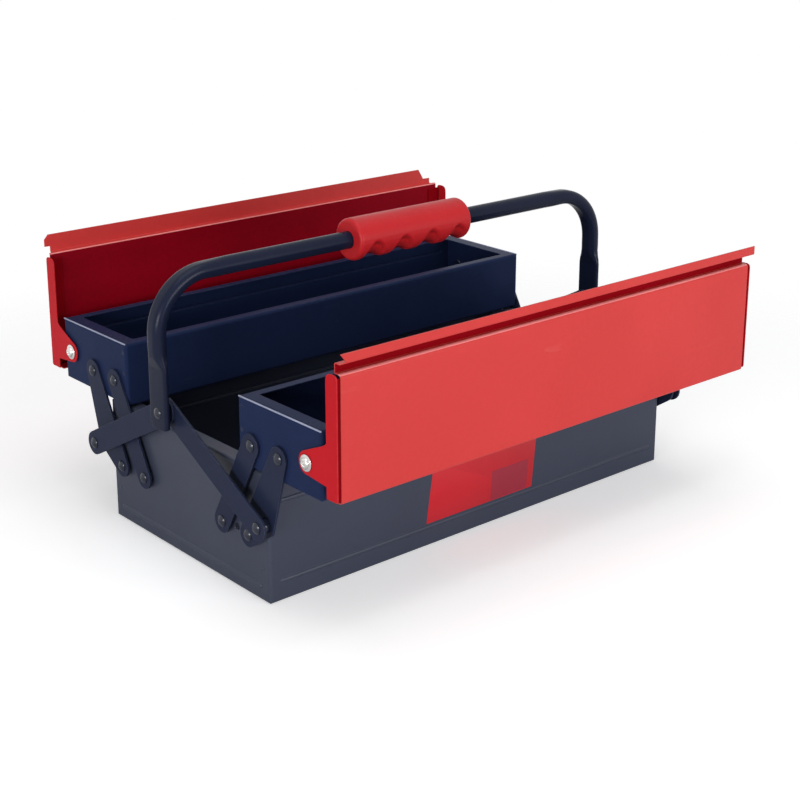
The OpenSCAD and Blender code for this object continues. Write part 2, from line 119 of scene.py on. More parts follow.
def add_softbox(name, place, target, size, watts):
    data = bpy.data.lights.new(name, "AREA")
    data.shape = "RECTANGLE"
    data.size, data.size_y = size
    data.energy = watts
    lamp = bpy.data.objects.new(name, data)
    bpy.context.scene.collection.objects.link(lamp)
    lamp.location = place
    look = Vector(target) - Vector(place)
    lamp.rotation_euler = look.to_track_quat("-Z", "Y").to_euler()


def add_lights():
    add_softbox("top_softbox", (-0.1, -0.3, 1.9), (0, 0, 0.1), (1.4, 1.4), 11)
    add_softbox("front_softbox", (0.35, -2.3, 0.42), (0, 0, 0.12), (1.5, 0.6), 24)
    add_softbox("left_softbox", (-2.1, -0.9, 0.45), (0, 0, 0.12), (1.1, 0.6), 22)


def add_surroundings():
    world = bpy.data.worlds.new("white_studio")
    bpy.context.scene.world = world
    world.use_nodes = True
    tree = world.node_tree
    tree.nodes.clear()
    rays = place_node(tree, "ShaderNodeLightPath")
    seen = maths(tree, "MAXIMUM", rays.outputs["Is Camera Ray"], rays.outputs["Is Glossy Ray"])
    seen = maths(tree, "MAXIMUM", seen, rays.outputs["Is Transmission Ray"])
    fill = place_node(tree, "ShaderNodeBackground", Color=(0.97, 0.98, 1.0, 1), Strength=0.30)
    white = place_node(tree, "ShaderNodeBackground", Color=(1, 1, 1, 1), Strength=1.0)
    mix = place_node(tree, "ShaderNodeMixShader")
    out = place_node(tree, "ShaderNodeOutputWorld")
    tree.links.new(seen, mix.inputs[0])
    tree.links.new(fill.outputs[0], mix.inputs[1])
    tree.links.new(white.outputs[0], mix.inputs[2])
    tree.links.new(mix.outputs[0], out.inputs["Surface"])


def add_floor():
    half = 3.0
    corners = [(-half, -half, 0), (half, -half, 0), (half, half, 0), (-half, half, 0)]
    floor = add_mesh("studio_floor", corners, [(0, 1, 2, 3)])
    floor.location.z = -0.0002
    floor.data.materials.append(floor_paper())


# ---------------------------------------------------------------- small node helpers
def place_node(tree, kind, **values):
    """New node with its sockets, or else its own settings, set from the named values."""
    node = tree.nodes.new(kind)
    for name, value in values.items():
        if name in node.inputs:
            node.inputs[name].default_value = value
        else:
            setattr(node, name, value)
    return node


def feed(tree, source, socket):
    """Give a socket a number, a colour or a link."""
    if isinstance(source, (int, float)):
        socket.default_value = source
    elif isinstance(source, tuple):
        socket.default_value = source + (1.0,) if len(source) == 3 else source
    else:
        tree.links.new(source, socket)


def maths(tree, operation, a, b=0.0, clamp=False):
    node = tree.nodes.new("ShaderNodeMath")
    node.operation = operation
    node.use_clamp = clamp
    feed(tree, a, node.inputs[0])
    feed(tree, b, node.inputs[1])
    return node.outputs[0]


def blend_colour(tree, amount, a, b):
    node = tree.nodes.new("ShaderNodeMix")
    node.data_type = "RGBA"
    feed(tree, amount, node.inputs["Factor"])
    feed(tree, a, node.inputs[6])
    feed(tree, b, node.inputs[7])
    return node.outputs[2]


def ramp(tree, value, low, high):
    node = tree.nodes.new("ShaderNodeMapRange")
    node.interpolation_type = "SMOOTHSTEP"
    feed(tree, value, node.inputs["Value"])
    node.inputs["From Min"].default_value = low
    node.inputs["From Max"].default_value = high
    return node.outputs["Result"]


def noise(tree, vector, scale, detail=3.0, rough=0.5, distortion=0.0):
    node = place_node(tree, "ShaderNodeTexNoise", Detail=detail, Roughness=rough, Distortion=distortion)
    tree.links.new(vector, node.inputs["Vector"])
    feed(tree, scale, node.inputs["Scale"])
    return node.outputs["Fac"]


def new_group(name, inputs, outputs):
    """Empty node group; inputs are (label, kind, value), outputs (label, kind)."""
    group = bpy.data.node_groups.new(name, "ShaderNodeTree")
    kinds = {"c": "NodeSocketColor", "f": "NodeSocketFloat", "v": "NodeSocketVector"}
    for label, kind, value in inputs:
        socket = group.interface.new_socket(label, in_out="INPUT", socket_type=kinds[kind])
        socket.default_value = value
    for label, kind in outputs:
        group.interface.new_socket(label, in_out="OUTPUT", socket_type=kinds[kind])
    start = group.nodes.new("NodeGroupInput")
    end = group.nodes.new("NodeGroupOutput")
    return group, start, end


# ---------------------------------------------------------------- shared surface effects
def make_sprayed_coat():
    """Sprayed paint: slow mottle in the colour, fine grit in the height, rub marks in the gloss."""
    group, start, end = new_group(
        "sprayed_coat",
        [("Colour", "c", (0.1, 0.1, 0.2, 1)), ("Deep Colour", "c", (0.05, 0.05, 0.1, 1)),
         ("Mottle", "f", 0.3), ("Grit Scale", "f", 900.0), ("Base Roughness", "f", 0.35),
         ("Rub", "f", 0.5)],
        [("Colour", "c"), ("Roughness", "f"), ("Height", "f"), ("Rub Mask", "f")])
    spot = group.nodes.new("ShaderNodeTexCoord").outputs["Object"]
    cloud = ramp(group, noise(group, spot, 9.0, 4.0, 0.6), 0.32, 0.68)
    fleck = ramp(group, noise(group, spot, 260.0, 2.0, 0.5), 0.35, 0.75)
    grit = noise(group, spot, start.outputs["Grit Scale"], 2.0, 0.55)
    swell = noise(group, spot, 160.0, 2.0, 0.5)
    shade = maths(group, "MULTIPLY", cloud, start.outputs["Mottle"])
    speck = maths(group, "MULTIPLY", fleck, 0.16)
    shade = maths(group, "ADD", shade, speck, clamp=True)
    tint = blend_colour(group, shade, start.outputs["Colour"], start.outputs["Deep Colour"])
    stretch = group.nodes.new("ShaderNodeMapping")
    stretch.inputs["Rotation"].default_value = (0.4, 0.7, 0.5)
    stretch.inputs["Scale"].default_value = (18.0, 260.0, 120.0)
    group.links.new(spot, stretch.inputs["Vector"])
    lines = ramp(group, noise(group, stretch.outputs["Vector"], 1.0, 3.0, 0.6, 0.8), 0.66, 0.74)
    patch = ramp(group, noise(group, spot, 22.0, 2.0), 0.5, 0.7)
    rub = maths(group, "MULTIPLY", lines, patch)
    rub = maths(group, "MULTIPLY", rub, start.outputs["Rub"], clamp=True)
    rough = maths(group, "ADD", start.outputs["Base Roughness"], maths(group, "MULTIPLY", rub, 0.25))
    rough = maths(group, "ADD", rough, maths(group, "MULTIPLY", cloud, 0.05), clamp=True)
    height = maths(group, "ADD", maths(group, "MULTIPLY", grit, 0.7),
                   maths(group, "MULTIPLY", swell, 0.5))
    results = ((tint, "Colour"), (rough, "Roughness"), (height, "Height"), (rub, "Rub Mask"))
    for source, label in results:
        group.links.new(source, end.inputs[label])
    return group


def make_fold_mask():
    """White along folds and cut edges, where the rounded normal leaves the true one: the place of the
    painted highlight.
    """
    group, start, end = new_group(
        "fold_mask",
        [("Rounded Normal", "v", (0, 0, 1)), ("Strength", "f", 6.0), ("Break Up", "f", 0.6)],
        [("Mask", "f")])
    true_normal = group.nodes.new("ShaderNodeNewGeometry").outputs["Normal"]
    dot = group.nodes.new("ShaderNodeVectorMath")
    dot.operation = "DOT_PRODUCT"
    group.links.new(start.outputs["Rounded Normal"], dot.inputs[0])
    group.links.new(true_normal, dot.inputs[1])
    bend = maths(group, "SUBTRACT", 1.0, dot.outputs["Value"])
    bend = maths(group, "MULTIPLY", bend, start.outputs["Strength"], clamp=True)
    spot = group.nodes.new("ShaderNodeTexCoord").outputs["Object"]
    gaps = ramp(group, noise(group, spot, 140.0, 3.0, 0.6), 0.38, 0.62)
    gaps = maths(group, "MULTIPLY", maths(group, "SUBTRACT", 1.0, gaps), start.outputs["Break Up"])
    mask = maths(group, "MULTIPLY", bend, maths(group, "SUBTRACT", 1.0, gaps), clamp=True)
    group.links.new(mask, end.inputs["Mask"])
    return group


def make_settled_dust():
    """Dust that lies on upward faces, thin and uneven."""
    group, start, end = new_group(
        "settled_dust", [("Amount", "f", 0.3)], [("Mask", "f")])
    normal = group.nodes.new("ShaderNodeNewGeometry").outputs["Normal"]
    split = group.nodes.new("ShaderNodeSeparateXYZ")
    group.links.new(normal, split.inputs[0])
    upward = ramp(group, split.outputs["Z"], 0.55, 0.98)
    spot = group.nodes.new("ShaderNodeTexCoord").outputs["Object"]
    grains = ramp(group, noise(group, spot, 420.0, 3.0, 0.7), 0.45, 0.72)
    drift = ramp(group, noise(group, spot, 14.0, 3.0, 0.6), 0.3, 0.75)
    film = maths(group, "MULTIPLY", grains, drift)
    film = maths(group, "MULTIPLY", film, upward)
    mask = maths(group, "MULTIPLY", film, start.outputs["Amount"], clamp=True)
    group.links.new(mask, end.inputs["Mask"])
    return group


SPRAYED_COAT = make_sprayed_coat()
FOLD_MASK = make_fold_mask()
SETTLED_DUST = make_settled_dust()


def use_group(tree, group, **values):
    """Node of a group, its inputs fed from the named values; _ stands for a space."""
    node = tree.nodes.new("ShaderNodeGroup")
    node.node_tree = group
    for name, value in values.items():
        feed(tree, value, node.inputs[name.replace("_", " ")])
    return node


def new_material(name, specular=0.5, metallic=0.0):
    """Material with one principled shader; returns the material, its tree and the shader."""
    material = bpy.data.materials.new(name)
    material.use_nodes = True
    tree = material.node_tree
    tree.nodes.clear()
    shader = tree.nodes.new("ShaderNodeBsdfPrincipled")
    out = tree.nodes.new("ShaderNodeOutputMaterial")
    tree.links.new(shader.outputs[0], out.inputs["Surface"])
    shader.inputs["Specular IOR Level"].default_value = specular
    shader.inputs["Metallic"].default_value = metallic
    return material, tree, shader


def add_bump(tree, shader, height, depth, normal=None):
    """Surface relief of the given depth in metres, over the rounded normal where there is one."""
    bump = tree.nodes.new("ShaderNodeBump")
    bump.inputs["Strength"].default_value = 1.0
    bump.inputs["Distance"].default_value = depth
    tree.links.new(height, bump.inputs["Height"])
    if normal is not None:
        tree.links.new(normal, bump.inputs["Normal"])
    tree.links.new(bump.outputs["Normal"], shader.inputs["Normal"])


def enamel(name, colour, deep, edge, mottle=0.4, grit=900.0, depth=0.00003, rough=0.34,
           rub=0.4, dust=0.3, edge_gain=5.0, specular=0.5, edge_mix=0.5, dust_colour=NAVY_DUST):
    """Sprayed enamel: a painted highlight in a paler colour along folds and cut edges, rubbed in
    places, dusty on top.
    """
    material, tree, shader = new_material(name, specular)
    coat = use_group(tree, SPRAYED_COAT, Colour=colour, Deep_Colour=deep, Mottle=mottle,
                     Grit_Scale=grit, Base_Roughness=rough, Rub=rub)
    rounded = place_node(tree, "ShaderNodeBevel", samples=4, Radius=0.0005)
    folds = use_group(tree, FOLD_MASK, Rounded_Normal=rounded.outputs[0], Strength=edge_gain)
    film = use_group(tree, SETTLED_DUST, Amount=dust)
    # Painted highlight: folds and cut edges blended towards the paler edge colour, which also tints the
    # rub marks.
    fold_highlight = maths(tree, "MULTIPLY", folds.outputs["Mask"], edge_mix)
    tint = blend_colour(tree, fold_highlight, coat.outputs["Colour"], edge)
    tint = blend_colour(tree, film.outputs["Mask"], tint, dust_colour)
    tint = blend_colour(tree, maths(tree, "MULTIPLY", coat.outputs["Rub Mask"], 0.3), tint, edge)
    rough_now = maths(tree, "ADD", coat.outputs["Roughness"],
                      maths(tree, "MULTIPLY", film.outputs["Mask"], 0.4), clamp=True)
    tree.links.new(tint, shader.inputs["Base Color"])
    tree.links.new(rough_now, shader.inputs["Roughness"])
    add_bump(tree, shader, coat.outputs["Height"], depth, rounded.outputs[0])
    return material


def moulded_plastic(name, colour, deep, rough=0.38):
    """Moulded grip plastic: fine spark grain, slightly waxy, dull scuffs on the crown."""
    material, tree, shader = new_material(name, 0.22)
    coat = use_group(tree, SPRAYED_COAT, Colour=colour, Deep_Colour=deep, Mottle=0.35,
                     Grit_Scale=1500.0, Base_Roughness=rough, Rub=0.5)
    film = use_group(tree, SETTLED_DUST, Amount=0.10)
    tint = blend_colour(tree, film.outputs["Mask"], coat.outputs["Colour"], (0.60, 0.30, 0.28))
    shader.inputs["Subsurface Weight"].default_value = 0.08
    shader.inputs["Subsurface Scale"].default_value = 0.002
    shader.inputs["Subsurface Radius"].default_value = (1.0, 0.25, 0.2)
    tree.links.new(tint, shader.inputs["Base Color"])
    tree.links.new(coat.outputs["Roughness"], shader.inputs["Roughness"])
    add_bump(tree, shader, coat.outputs["Height"], 0.00002)
    return material


def bright_steel(name):
    """Plated rivet steel: mottled, with small scratches."""
    material, tree, shader = new_material(name, 0.5, 1.0)
    coat = use_group(tree, SPRAYED_COAT, Colour=BRIGHT_STEEL, Deep_Colour=(0.52, 0.51, 0.50),
                     Mottle=0.5, Grit_Scale=1200.0, Base_Roughness=0.20, Rub=0.9)
    rounded = place_node(tree, "ShaderNodeBevel", samples=4, Radius=0.0003)
    tree.links.new(coat.outputs["Colour"], shader.inputs["Base Color"])
    tree.links.new(coat.outputs["Roughness"], shader.inputs["Roughness"])
    add_bump(tree, shader, coat.outputs["Height"], 0.00001, rounded.outputs[0])
    return material


def patch_film(name, colour, deep):
    """Printed film: smooth, glossy, slightly uneven."""
    material, tree, shader = new_material(name, 0.5)
    coat = use_group(tree, SPRAYED_COAT, Colour=colour, Deep_Colour=deep, Mottle=0.5,
                     Grit_Scale=500.0, Base_Roughness=0.30, Rub=0.3)
    tree.links.new(coat.outputs["Colour"], shader.inputs["Base Color"])
    tree.links.new(coat.outputs["Roughness"], shader.inputs["Roughness"])
    add_bump(tree, shader, coat.outputs["Height"], 0.00001)
    return material


def floor_paper():
    """Pale paper that keeps the soft shadow and fades into the white surroundings further out."""
    material, tree, shader = new_material("floor_paper", 0.0)
    spot = tree.nodes.new("ShaderNodeTexCoord").outputs["Object"]
    fibre = ramp(tree, noise(tree, spot, 60.0, 3.0), 0.3, 0.7)
    fibre = maths(tree, "MULTIPLY", fibre, 0.3)
    tint = blend_colour(tree, fibre, (0.92, 0.92, 0.92), (0.90, 0.90, 0.90))
    tree.links.new(tint, shader.inputs["Base Color"])
    shader.inputs["Roughness"].default_value = 0.9
    rays = tree.nodes.new("ShaderNodeLightPath")
    lift = maths(tree, "MULTIPLY", rays.outputs["Is Camera Ray"], 0.42)
    shader.inputs["Emission Color"].default_value = (1, 1, 1, 1)
    tree.links.new(lift, shader.inputs["Emission Strength"])
    reach = tree.nodes.new("ShaderNodeVectorMath")
    reach.operation = "LENGTH"
    tree.links.new(spot, reach.inputs[0])
    fade = ramp(tree, reach.outputs["Value"], 0.38, 0.80)
    seen = maths(tree, "MAXIMUM", rays.outputs["Is Camera Ray"], rays.outputs["Is Glossy Ray"])
    clear = tree.nodes.new("ShaderNodeBsdfTransparent")
    mix = tree.nodes.new("ShaderNodeMixShader")
    tree.links.new(maths(tree, "MULTIPLY", fade, seen), mix.inputs[0])
    tree.links.new(shader.outputs[0], mix.inputs[1])
    tree.links.new(clear.outputs[0], mix.inputs[2])
    out = [n for n in tree.nodes if n.type == "OUTPUT_MATERIAL"][0]
    tree.links.new(mix.outputs[0], out.inputs["Surface"])
    return material


# ---------------------------------------------------------------- meshes
def add_mesh(name, points, faces, scale=1.0):
    """New object from points and faces; scale turns the points into metres."""
    mesh = bpy.data.meshes.new(name)
    mesh.from_pydata([tuple(c * scale for c in p) for p in points], [], faces)
    mesh.update()
    piece = bpy.data.objects.new(name, mesh)
    bpy.context.scene.collection.objects.link(piece)
    return piece


def skin_rings(rings, closed_start=True, closed_end=True):
    """Points and faces of a skin over rings of equal length, with flat end faces where asked."""
    count = len(rings[0])
    points = [p for ring in rings for p in ring]
    faces = []
    for i in range(len(rings) - 1):
        for k in range(count):
            a, b = i * count + k, i * count + (k + 1) % count
            faces.append((a, b, b + count, a + count))
    if closed_start:
        faces.append(tuple(reversed(range(count))))
    if closed_end:
        faces.append(tuple(range(len(points) - count, len(points))))
    return points, faces


def finish_piece(piece, body, material, angle=35.0):
    """Material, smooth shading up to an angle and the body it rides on."""
    mesh = piece.data
    mesh.materials.append(material)
    for face in mesh.polygons:
        face.use_smooth = True
    mesh.set_sharp_from_angle(angle=math.radians(angle))
    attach(piece, body)
    return piece


def between(table, s):
    """Value at s of a piecewise straight table of (s, value)."""
    if s <= table[0][0]:
        return table[0][1]
    for (s0, v0), (s1, v1) in zip(table, table[1:]):
        if s <= s1:
            return v0 + (v1 - v0) * (s - s0) / (s1 - s0)
    return table[-1][1]


# ---------------------------------------------------------------- the carrying bar
BAR_FOOT_Z = PIN_Z - 12.0
LEG_STRAIGHT = CROSSBAR_Z - BEND_R - BAR_FOOT_Z
BEND_LEN = BEND_R * math.pi / 2

# Tables of (path length from the foot, value) for the bar's pressed section.
HALF_WIDTH = [(0, 8.8), (0.6, 10.0), (1.4, 10.7), (2.6, 11), (46, 11), (50, 10.3), (54, 8.9), (58, 8.1),
              (72, 7.9), (105, 8.1), (136, 7.5), (157, 7.0), (999, 7.0)]
EDGE_ROUND = [(0, 2.0), (46, 2.0), (52, 4.4), (58, 5.8), (72, 5.4), (105, 4.6), (136, 5.6),
              (157, 7.0), (999, 7.0)]
OUTER_FACE = [(0, 2.25), (46, 2.25), (47.5, 2.5), (56, 5.2), (62, 5.9), (72, 5.7), (105, 5.2),
              (136, 6.0), (157, 7.0), (999, 7.0)]
INNER_FACE = [(0, 2.25), (46, 2.25), (50, 3.3), (57, 5.4), (80, 5.9), (136, 6.4), (150, 7.0),
              (999, 7.0)]


def bar_station(s):
    """Centre and outward direction of the bar at path length s from the foot, in the X-Z plane."""
    bend_x, bend_z = BAR_X - BEND_R, CROSSBAR_Z - BEND_R
    if s <= LEG_STRAIGHT:
        return (BAR_X, BAR_FOOT_Z + s), (1.0, 0.0)
    if s <= LEG_STRAIGHT + BEND_LEN:
        t = (s - LEG_STRAIGHT) / BEND_R
        away_x, away_z = math.cos(t), math.sin(t)
        return (bend_x + BEND_R * away_x, bend_z + BEND_R * away_z), (away_x, away_z)
    return (bend_x - (s - LEG_STRAIGHT - BEND_LEN), CROSSBAR_Z), (0.0, 1.0)


def pressed_round(half, edge, outer, inner, arc=8, flat=3):
    """Section of a pressed tube: flat faces at outer and inner, its edges rounded over edge."""
    ring = []
    wing = max(half - edge, 0.02)
    corners = ((1, 1, outer, 0.0), (-1, 1, outer, 90.0), (-1, -1, inner, 180.0), (1, -1, inner, 270.0))
    for sy, sn, face, start in corners:
        for k in range(arc):
            t = math.radians(start + 90.0 * k / (arc - 1))
            ring.append((sy * wing + edge * math.cos(t), face * math.sin(t)))
        y, n = ring[-1]
        if sy * sn > 0:
            for k in range(1, flat):
                ring.append((y - 2 * sy * wing * k / flat, n))
    return ring


def bar_ring(s, side):
    """Ring of the bar's skin at path length s, on the left (-1) or right (1) half."""
    (cx, cz), (ox, oz) = bar_station(s)
    section = pressed_round(between(HALF_WIDTH, s), between(EDGE_ROUND, s),
                            between(OUTER_FACE, s), between(INNER_FACE, s))
    return [(side * (cx + ox * n), y, cz + oz * n) for y, n in section]


def make_carrying_bar(material):
    """The whole bar, from the left foot over the crossbar to the right foot."""
    half_path = LEG_STRAIGHT + BEND_LEN + BAR_X - BEND_R
    stops = [0, 0.3, 0.6, 1.0, 1.4, 2.0, 2.6, 8, 20, 32, 42]
    stops += [44, 45, 46, 47, 48, 49, 50, 52, 54, 56, 58, 60]
    s = 63.0
    while s < 162:
        stops.append(s)
        s += 2.6
    stops += [half_path * 0.72, half_path * 0.86]
    left = [bar_ring(s, -1) for s in stops]
    right = [bar_ring(s, 1) for s in reversed(stops)]
    points, faces = skin_rings(left + [bar_ring(half_path - 0.01, -1)] + right)
    bar = add_mesh("carrying_bar", points, faces, MM)
    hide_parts("handle_bar")
    return finish_piece(bar, "handle", material, 24.0)


# ---------------------------------------------------------------- the moulded grip
FINGER_CENTRES = (-43.5, -14.5, 14.5, 43.5)
FINGER_SHIFT = 1.5
FINGER_HALF = 11.0
FINGER_DEEP = 4.0
FINGER_REACH = math.radians(74.0)
FINGER_LEAN = math.radians(16.0)
GRIP_BORE_R = 7.15
GRIP_EDGE = 3.0
GRIP_SIDES = 112
GRIP_CORE_R = 13.0


def finger_press(x, angle):
    """Depth of the finger grooves at x along the grip, angle from straight down, front positive."""
    deepest = 0.0
    for centre in FINGER_CENTRES:
        across = (x - centre - FINGER_SHIFT) / FINGER_HALF
        if abs(across) >= 1.0:
            continue
        rise = FINGER_REACH * math.sqrt(1.0 - across * across)
        away = abs(angle - FINGER_LEAN) / rise if rise > 1e-6 else 9.0
        if away >= 1.0:
            continue
        wall = min(1.0, 2.6 * (1.0 - away ** 2.0))
        bowl = 1.0 - across * across
        deepest = max(deepest, FINGER_DEEP * wall * bowl ** 0.8)
    return deepest


def grip_profile():
    """Half section of the grip as (x, radius) from the left bore edge to the right one."""
    half, edge, bore = GRIP_LEN / 2, GRIP_EDGE, GRIP_BORE_R
    rows = [(-half, bore), (-half, bore + 2.0), (-half, GRIP_R - edge - 2.5), (-half, GRIP_R - edge)]
    for k in range(1, 8):
        t = math.pi / 2 * k / 7
        rows.append((-half + edge - edge * math.cos(t), GRIP_R - edge + edge * math.sin(t)))
    steps = 132
    span = GRIP_LEN - 2 * edge
    for k in range(1, steps):
        rows.append((-half + edge + span * k / steps, GRIP_R))
    for k in range(0, 8):
        t = math.pi / 2 * (1 - k / 7)
        rows.append((half - edge + edge * math.cos(t), GRIP_R - edge + edge * math.sin(t)))
    rows += [(half, GRIP_R - edge - 2.5), (half, bore + 2.0), (half, bore)]
    return rows


def grip_ring(x, radius, count):
    """One ring of the grip's skin, pressed by the fingers and marked by the moulding seam."""
    ring = []
    for k in range(count):
        angle = 2 * math.pi * k / count - math.pi
        r = radius
        if radius > GRIP_CORE_R:
            r -= finger_press(x, angle) * (radius - GRIP_CORE_R) / (GRIP_R - GRIP_CORE_R)
            from_seam = abs(abs(angle) - math.pi / 2)
            if from_seam < 0.03 and radius > 16.0:
                r -= 0.12
        ring.append((GRIP_X + x, -r * math.sin(angle), CROSSBAR_Z - r * math.cos(angle)))
    return ring


def make_moulded_grip(material):
    rings = [grip_ring(x, radius, GRIP_SIDES) for x, radius in grip_profile()]
    points, faces = skin_rings(rings, False, False)
    grip = add_mesh("moulded_grip", points, faces, MM)
    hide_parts("handle_grip")
    return finish_piece(grip, "handle", material, 48.0)


# ---------------------------------------------------------------- the lids
LID_OUT = 33.3
LID_TOP = 69.7
LID_LOW = -20.8
LID_SHEET = 0.8
PANEL_END = 211.0
PLATE_X = 214.5
PLATE_FROM = 21.3
PLATE_TOP = {"front": 69.3, "rear": 73.2}
LIP_FROM = 76.0
LIP_TOP = 83.4
LEDGE_UP = 75.5
BAND_OUT = 37.7
BAND_TOP = 90.0
EAR_R = 8.6
EAR_TANGENT = (17.0, 16.9)
EAR_TOP_V = 19.5
EAR_LOW_V = -10.7
PLATE_TO = 33.1
TAB_OUT = 32.3
TAB_END = 201.0
GROOVE_D = 6.0
HALF_SHEET = LID_SHEET / 2
LIP_RIGHT = 218.5
LEDGE_ENDS = (-208.0, 206.5)
BAND_CREST_ENDS = (-209.5, 192.5)
BAND_LEFT = -213.0

# Heights of the folds that carry the painted highlight.
FRONT_FOLD_V = (68.3, 69.6)
REAR_FOLD_V = (74.2, 75.3)

# Finish numbers of the lids, in the order of their materials.
COAT, SHADED_INSIDE, SHADED_RECESS, END_PLATE, FOLD_HIGHLIGHT = range(5)


def rounded_path(corners, steps=5):
    """Dense path in a plane from (u, v, radius) corners; the first and last are not rounded."""
    path = []
    for i, (u, v, radius) in enumerate(corners):
        here = Vector((u, v))
        if radius <= 0:
            path.append(here)
            continue
        before = Vector(corners[i - 1][:2]) - here
        after = Vector(corners[(i + 1) % len(corners)][:2]) - here
        half = before.angle(after) / 2
        reach = min(radius / math.tan(half), before.length * 0.49, after.length * 0.49)
        before, after = before.normalized() * reach, after.normalized() * reach
        for k in range(steps + 1):
            t = k / steps
            path.append(here + before * (1 - t) ** 2 + after * t ** 2)
    return path


def folded_sheet(path, ends, thick=LID_SHEET):
    """Sheet folded along a path in (u, v), from ends(i) left to ends(i) right; points are (x, u, v)."""
    offsets = []
    for i in range(len(path)):
        ahead = (path[min(i + 1, len(path) - 1)] - path[max(i - 1, 0)]).normalized()
        offsets.append(Vector((ahead.y, -ahead.x)) * thick / 2)
    points, faces, sides = [], [], []
    for end in (0, 1):
        for sign in (1, -1):
            points += [(ends(i)[end], (p + n * sign).x, (p + n * sign).y)
                       for i, (p, n) in enumerate(zip(path, offsets))]
    count = len(path)
    left_out, left_in, right_out, right_in = (k * count for k in range(4))
    for i in range(count - 1):
        j = i + 1
        faces.append((left_out + i, right_out + i, right_out + j, left_out + j))
        faces.append((left_in + j, right_in + j, right_in + i, left_in + i))
        faces.append((left_out + i, left_out + j, left_in + j, left_in + i))
        faces.append((right_out + j, right_out + i, right_in + i, right_in + j))
        sides += [(i, 1), (i, -1), (i, 0), (i, 0)]
    for i in (0, count - 1):
        rim = (left_out + i, left_in + i, right_in + i, right_out + i)
        faces.append(rim if i == 0 else tuple(reversed(rim)))
        sides.append((i, 0))
    return points, faces, sides


def ear_outline(top):
    """End plate of a lid with its ear around the pivot, in (u, v), anticlockwise."""
    low = LID_LOW + 1.6
    upper = Vector(EAR_TANGENT)
    lower = Vector((PLATE_FROM, EAR_LOW_V))
    outline = rounded_path([(PLATE_FROM, low, 0), (PLATE_TO, low, 2.0), (PLATE_TO, top, 3.5),
                            (PLATE_FROM, top, 6.0), (PLATE_FROM, EAR_TOP_V, 3.0),
                            (upper.x, upper.y, 0)], 6)
    start = math.atan2(upper.y, upper.x) + math.acos(EAR_R / upper.length)
    stop = math.atan2(lower.y, lower.x) - math.acos(EAR_R / lower.length) + 2 * math.pi
    for k in range(21):
        t = start + (stop - start) * k / 20
        outline.append(Vector((EAR_R * math.cos(t), EAR_R * math.sin(t))))
    outline.append(lower)
    return outline


def plate_prism(side, top):
    """The end plate at one end, its outside edge eased, as points (x, u, v) and faces."""
    outline = ear_outline(top)
    inner = []
    for i, spot in enumerate(outline):
        ahead = (outline[(i + 1) % len(outline)] - outline[i - 1]).normalized()
        inner.append(spot + Vector((-ahead.y, ahead.x)) * 0.18)
    rings = [[(side * x, q.x, q.y) for q in ring] for x, ring in
             ((PLATE_X - LID_SHEET, outline), (PLATE_X - 0.2, outline), (PLATE_X, inner))]
    points, faces = skin_rings(rings)
    if side < 0:
        faces = [tuple(reversed(face)) for face in faces]
    return points, faces


def tab_strip(side, top):
    """The turned-in edge of an end plate, behind the end of the panel."""
    root = PLATE_X - 0.45
    path = rounded_path([(root, TAB_OUT - 3.7, 0), (root, TAB_OUT, 1.2), (TAB_END, TAB_OUT, 0)], 4)
    points, faces = [], []
    for v in (LID_LOW + 2.2, top - 2.5):
        for shift in (0.0, -LID_SHEET):
            points += [(side * (q.x + (shift * 0.3 if k <= 3 else 0.0)), q.y + shift, v)
                       for k, q in enumerate(path)]
    count = len(path)
    low_out, low_in, top_out, top_in = (k * count for k in range(4))
    for i in range(count - 1):
        j = i + 1
        faces.append((low_out + i, low_out + j, top_out + j, top_out + i))
        faces.append((low_in + j, low_in + i, top_in + i, top_in + j))
        faces.append((low_out + j, low_out + i, low_in + i, low_in + j))
        faces.append((top_out + i, top_out + j, top_in + j, top_in + i))
    last = count - 1
    faces.append((low_out, top_out, top_in, low_in))
    faces.append((low_out + last, low_in + last, top_in + last, top_out + last))
    if side > 0:
        faces = [tuple(reversed(face)) for face in faces]
    return points, faces


def join_parts(name, parts, lean):
    """One mesh from parts of (points (x, u, v), faces, finish numbers), placed at the lid pivot."""
    points, faces, finishes = [], [], []
    for part_points, part_faces, part_finishes in parts:
        start = len(points)
        points += [(x, lean * (LID_PIVOT_Y + u), LID_PIVOT_Z + v) for x, u, v in part_points]
        for face in part_faces:
            moved = tuple(k + start for k in face)
            faces.append(moved if lean > 0 else tuple(reversed(moved)))
        finishes += part_finishes
    piece = add_mesh(name, points, faces, MM)
    for face, finish in zip(piece.data.polygons, finishes):
        face.material_index = finish
    return piece


def front_lid_path():
    """Middle of the front lid's sheet: bottom flange, panel, groove, lip."""
    edge, back = LID_OUT - HALF_SHEET, LID_OUT - GROOVE_D - HALF_SHEET
    low, top, lip = LID_LOW + HALF_SHEET, LID_TOP - HALF_SHEET, LIP_FROM + HALF_SHEET
    return rounded_path([(PLATE_FROM, low, 0), (edge, low, 2.0), (edge, top, 2.6), (back, top, 1.0),
                         (back, lip, 1.2), (edge, lip, 1.2), (edge, LIP_TOP, 0)])


def rear_lid_path():
    """Middle of the rear lid's sheet: bottom flange, panel, ledge, band."""
    edge, brow = LID_OUT - HALF_SHEET, BAND_OUT - HALF_SHEET
    low, ledge = LID_LOW + HALF_SHEET, LEDGE_UP - HALF_SHEET
    return rounded_path([(PLATE_FROM, low, 0), (edge, low, 2.0), (edge, ledge, 1.4), (brow, ledge, 1.2),
                         (brow, LEDGE_UP + 4.6, 0), (brow, LEDGE_UP + 4.8, 0),
                         (brow, BAND_TOP - 4.0, 0), (brow, BAND_TOP, 0)])


